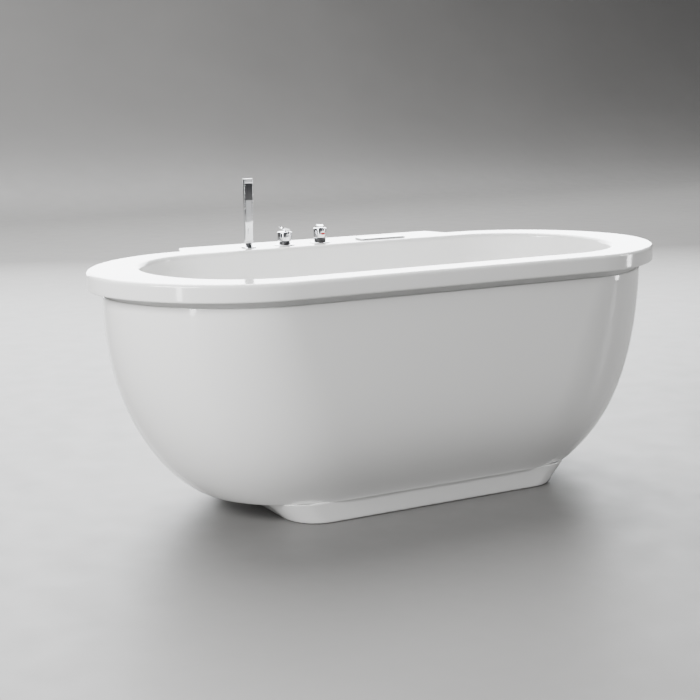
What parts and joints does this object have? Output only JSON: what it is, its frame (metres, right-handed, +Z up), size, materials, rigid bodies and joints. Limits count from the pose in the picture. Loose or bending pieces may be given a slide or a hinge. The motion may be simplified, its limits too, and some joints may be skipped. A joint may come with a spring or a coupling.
{
  "type": "freestanding bathtub",
  "caption": "Freestanding oval bathtub with a wide upright lip, boat-shaped skirt on a plinth, fitting ledge with hand shower, diverter, mixer and low spout, and a cable-worked waste.",
  "frame": {"origin": "on the floor, under the middle of the rim's outer box", "axes": "+X along the tub, with the hand shower towards -X; +Y from the bather's side towards the fitting ledge; +Z up"},
  "size_m": [1.8, 0.838, 0.891],
  "materials": {
    "white_acrylic": "glossy moulded acrylic",
    "plywood": "raw plywood",
    "frame_paint": "satin powder coat",
    "zinc_steel": "zinc plated",
    "black_rubber": "matt rubber",
    "chrome": "polished chrome",
    "grey_plastic": "moulded, satin",
    "cable_sheath": "satin sheath",
    "black_plastic": "satin, fine grain",
    "dark_mark": "enamel inlay",
    "red_mark": "enamel inlay",
    "brass": "machined",
    "braided_hose": "braided stainless steel"
  },
  "bodies": {
    "tub": {"basin_shell": "white_acrylic", "outer_skirt": "white_acrylic", "plinth": "white_acrylic", "base_board": "plywood", "frame_rails": "frame_paint", "frame_crossbars": "frame_paint", "foot_studs": "zinc_steel", "foot_nuts": "zinc_steel", "foot_pads": "black_rubber", "skirt_brackets": "zinc_steel", "bracket_screws": "zinc_steel", "drain_body": "chrome", "drain_gasket": "black_rubber", "drain_nut": "grey_plastic", "waste_tee": "grey_plastic", "tailpiece": "grey_plastic", "overflow_body": "grey_plastic", "overflow_gasket": "black_rubber", "overflow_hose": "grey_plastic", "lift_cable": "cable_sheath", "handset_holder": "chrome", "diverter_escutcheon": "chrome", "diverter_collar": "black_plastic", "diverter_valve": "brass", "mixer_escutcheon": "chrome", "mixer_collar": "black_plastic", "mixer_valve": "brass", "spout_cover": "chrome", "spout_box": "grey_plastic", "deck_washers": "black_rubber", "deck_nuts": "brass", "link_hose": "braided_hose", "spout_hose": "braided_hose", "shower_hose": "braided_hose", "hot_hose": "braided_hose", "cold_hose": "braided_hose"},
    "handset": {"handset_bar": "chrome", "handset_spray_plate": "black_plastic", "handset_connector": "black_plastic", "handset_hose": "braided_hose"},
    "diverter_knob": {"diverter_handle": "chrome", "diverter_mark": "dark_mark"},
    "mixer_knob": {"mixer_handle": "chrome", "mixer_mark": "red_mark", "lever_pin": "zinc_steel"},
    "mixer_lever": {"mixer_lever": "chrome"},
    "overflow_knob": {"overflow_knob": "chrome", "cable_crank": "zinc_steel"},
    "plug": {"drain_plug": "chrome", "plug_seal": "black_rubber"}
  },
  "joints": [
    {"name": "handset_lift", "type": "slide", "parent": "tub", "child": "handset", "axis": [0, 0, 1], "range_m": [0, 0.12]},
    {"name": "diverter_turn", "type": "hinge", "parent": "tub", "child": "diverter_knob", "pos_m": [-0.148, 0.316, 0.7], "axis": [0, 0, 1], "range_deg": [-90, 90]},
    {"name": "mixer_turn", "type": "hinge", "parent": "tub", "child": "mixer_knob", "pos_m": [-0.025, 0.316, 0.7], "axis": [0, 0, 1], "range_deg": [-45, 45]},
    {"name": "mixer_tilt", "type": "hinge", "parent": "mixer_knob", "child": "mixer_lever", "pos_m": [-0.02192, 0.32446, 0.7325], "axis": [-0.9397, 0.342, 0], "range_deg": [0, 24]},
    {"name": "overflow_turn", "type": "hinge", "parent": "tub", "child": "overflow_knob", "pos_m": [0, -0.324, 0.607], "axis": [0, 1, 0], "range_deg": [0, 90]},
    {"name": "plug_lift", "type": "slide", "parent": "tub", "child": "plug", "axis": [0, 0, 1], "range_m": [0, 0.01]}
  ],
  "couplings": [
    {"joint": "plug_lift", "follows": "overflow_turn", "m_per_rad": 0.00636}
  ]
}
